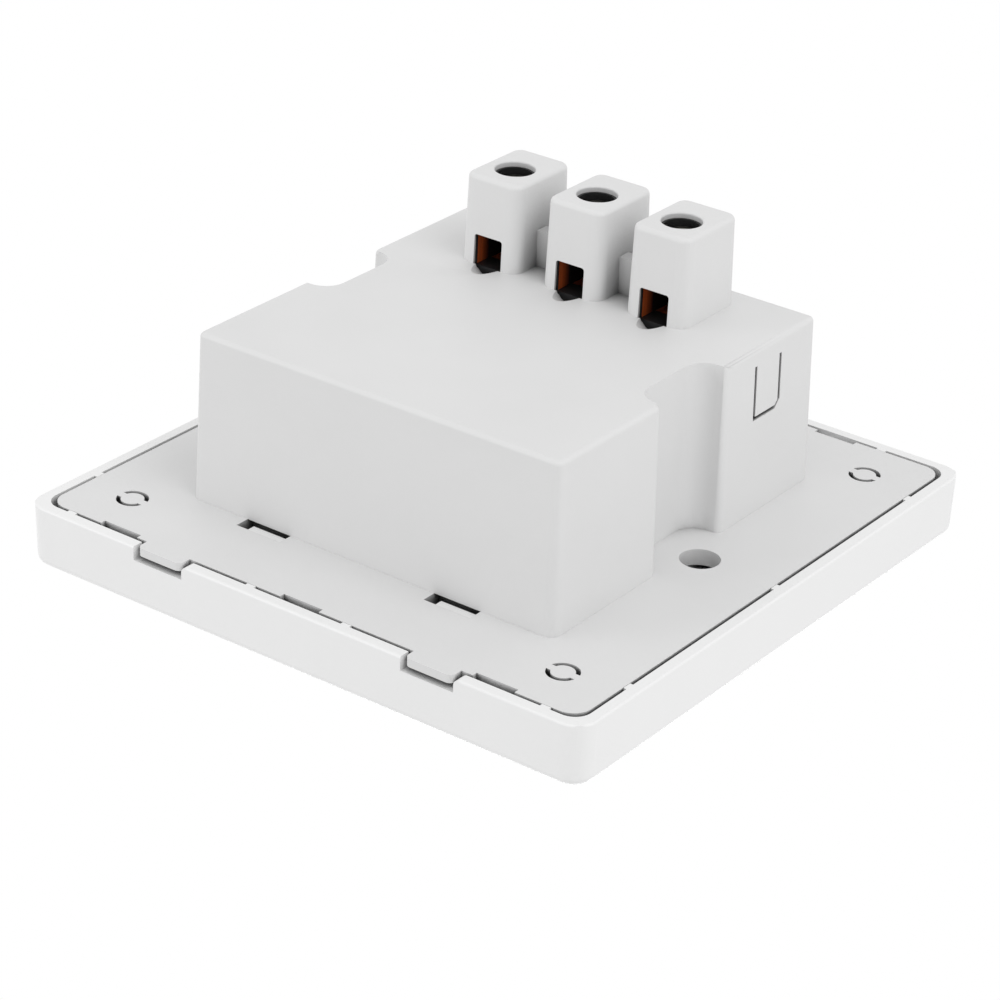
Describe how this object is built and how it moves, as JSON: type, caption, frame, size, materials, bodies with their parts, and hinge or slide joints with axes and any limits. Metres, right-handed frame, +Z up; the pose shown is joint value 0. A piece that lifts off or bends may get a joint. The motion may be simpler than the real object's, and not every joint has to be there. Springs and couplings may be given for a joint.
{
  "type": "smart wall socket",
  "caption": "Square wall socket with two-pin and three-pin slots, shutters, push button, snap-off cover and screw terminals on a deep rear box.",
  "frame": {"origin": "centre of the square on the wall plane, midway between the two fixing screws", "axes": "+Y into the wall along the fixing screws, -Y out of the socket's face, +Z up with the two-pin slots above, +X to the right as seen from the front, along the row of fixing screws"},
  "size_m": [0.086, 0.0437, 0.086],
  "materials": {
    "white_cover": "fine satin polycarbonate",
    "white_housing": "fine matte moulded nylon",
    "black_plastic": "matte moulded",
    "clear_plastic": "frosted clear",
    "copper": "bare stamped copper alloy",
    "screw_steel": "zinc plated",
    "spring_steel": "bright strip",
    "circuit_board": "solder mask",
    "relay_case": "moulded case",
    "transformer_tape": "taped winding",
    "capacitor_sleeve": "shrunk sleeve",
    "varistor_coating": "dipped coating",
    "tin_shield": "tin plated"
  },
  "bodies": {
    "base": {"rear_housing": "white_housing", "shutter_frame": "white_housing", "two_pin_shutter_spring": "spring_steel", "three_pin_shutter_spring": "spring_steel", "light_guide": "clear_plastic", "contact_base": "black_plastic", "base_screw_1": "screw_steel", "base_screw_2": "screw_steel", "live_contact": "copper", "neutral_contact": "copper", "earth_contact": "copper", "live_input_strip": "copper", "main_board": "circuit_board", "button_board": "circuit_board", "radio_board": "circuit_board", "relay": "relay_case", "transformer": "transformer_tape", "fuse": "black_plastic", "filter_capacitor": "capacitor_sleeve", "varistor": "varistor_coating", "radio_shield": "tin_shield", "tact_switch": "black_plastic", "signal_lamp": "clear_plastic", "live_terminal_liner": "black_plastic", "live_terminal_cage": "copper", "earth_terminal_liner": "black_plastic", "earth_terminal_cage": "copper", "neutral_terminal_liner": "black_plastic", "neutral_terminal_cage": "copper"},
    "cover": {"front_cover": "white_cover"},
    "button": {"push_button": "white_cover", "switch_plunger": "black_plastic"},
    "two_pin_slider": {"two_pin_shutter": "white_housing"},
    "three_pin_slider": {"three_pin_shutter": "white_housing"},
    "live_clamp": {"live_clamp_plate": "screw_steel"},
    "live_screw": {"live_terminal_screw": "screw_steel"},
    "earth_clamp": {"earth_clamp_plate": "screw_steel"},
    "earth_screw": {"earth_terminal_screw": "screw_steel"},
    "neutral_clamp": {"neutral_clamp_plate": "screw_steel"},
    "neutral_screw": {"neutral_terminal_screw": "screw_steel"}
  },
  "joints": [
    {"name": "cover_pull", "type": "slide", "parent": "base", "child": "cover", "axis": [0, -1, 0], "range_m": [0, 0.02]},
    {"name": "button_press", "type": "slide", "parent": "base", "child": "button", "axis": [0, 1, 0], "range_m": [0, 0.0006], "stiffness_N_per_m": 800, "springref_m": -0.0003},
    {"name": "two_pin_shutter_slide", "type": "slide", "parent": "base", "child": "two_pin_slider", "axis": [1, 0, 0], "range_m": [0, 0.0028], "stiffness_N_per_m": 60, "springref_m": -0.002, "deforming": ["two_pin_shutter_spring"]},
    {"name": "three_pin_shutter_slide", "type": "slide", "parent": "base", "child": "three_pin_slider", "axis": [1, 0, 0], "range_m": [0, 0.0032], "stiffness_N_per_m": 60, "springref_m": -0.002, "deforming": ["three_pin_shutter_spring"]},
    {"name": "live_clamp_travel", "type": "slide", "parent": "base", "child": "live_clamp", "axis": [0, -1, 0], "range_m": [0, 0.003]},
    {"name": "live_screw_turn", "type": "hinge", "parent": "live_clamp", "child": "live_screw", "pos_m": [0.013, 0.03, 0.0176], "axis": [0, -1, 0], "range_deg": [0, 1543]},
    {"name": "earth_clamp_travel", "type": "slide", "parent": "base", "child": "earth_clamp", "axis": [0, -1, 0], "range_m": [0, 0.003]},
    {"name": "earth_screw_turn", "type": "hinge", "parent": "earth_clamp", "child": "earth_screw", "pos_m": [0, 0.03, 0.0176], "axis": [0, -1, 0], "range_deg": [0, 1543]},
    {"name": "neutral_clamp_travel", "type": "slide", "parent": "base", "child": "neutral_clamp", "axis": [0, -1, 0], "range_m": [0, 0.003]},
    {"name": "neutral_screw_turn", "type": "hinge", "parent": "neutral_clamp", "child": "neutral_screw", "pos_m": [-0.013, 0.03, 0.0176], "axis": [0, -1, 0], "range_deg": [0, 1543]}
  ],
  "couplings": [
    {"joint": "live_screw_turn", "follows": "live_clamp_travel", "rad_per_m": 8976},
    {"joint": "earth_screw_turn", "follows": "earth_clamp_travel", "rad_per_m": 8976},
    {"joint": "neutral_screw_turn", "follows": "neutral_clamp_travel", "rad_per_m": 8976}
  ]
}
